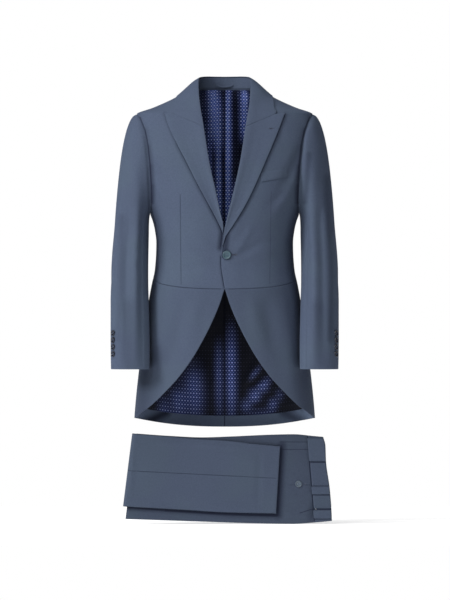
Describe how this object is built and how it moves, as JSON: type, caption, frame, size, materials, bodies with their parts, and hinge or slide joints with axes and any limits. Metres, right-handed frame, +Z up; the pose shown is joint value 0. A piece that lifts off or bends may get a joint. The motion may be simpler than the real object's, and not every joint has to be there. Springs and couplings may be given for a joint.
{
  "type": "two-piece suit",
  "caption": "Single-breasted cutaway tail coat with peak lapels, hollow as when worn, and its folded trousers lying below the hem.",
  "frame": {"origin": "the nape, where the seam of coat and collar crosses the centre back, on the coat's middle plane", "axes": "+Z up along the wearer's height, the coat's fronts face -Y, +X to the wearer's left"},
  "size_m": [0.58, 0.27, 1.143],
  "materials": {
    "suiting": "fine worsted wool, matte",
    "lining": "satin lining with small dots",
    "blue_button": "semi-gloss resin",
    "dark_button": "semi-gloss resin"
  },
  "bodies": {
    "root": {"back_left": "suiting", "back_lining_left": "lining", "back_lining_right": "lining", "back_right": "suiting", "belt_loop_1": "suiting", "belt_loop_2": "suiting", "breast_welt": "suiting", "collar_fall": "suiting", "collar_stand": "suiting", "cuff_button_left_1": "dark_button", "cuff_button_left_2": "dark_button", "cuff_button_left_3": "dark_button", "cuff_button_left_4": "dark_button", "cuff_button_right_1": "dark_button", "cuff_button_right_2": "dark_button", "cuff_button_right_3": "dark_button", "cuff_button_right_4": "dark_button", "forepart_left": "suiting", "forepart_right": "suiting", "front_button": "blue_button", "hem_facing_left": "suiting", "hem_facing_right": "suiting", "lapel_left": "suiting", "lapel_right": "suiting", "pocket_button": "blue_button", "side_body_left": "suiting", "side_body_right": "suiting", "skirt_left": "suiting", "skirt_right": "suiting", "sleeve_under_left": "suiting", "sleeve_under_right": "suiting", "sleeve_upper_left": "suiting", "sleeve_upper_right": "suiting", "trouser_leg_top": "suiting", "trouser_leg_under": "suiting", "trouser_seat": "suiting", "waistband": "suiting", "waistband_tab": "suiting"}
  },
  "joints": []
}
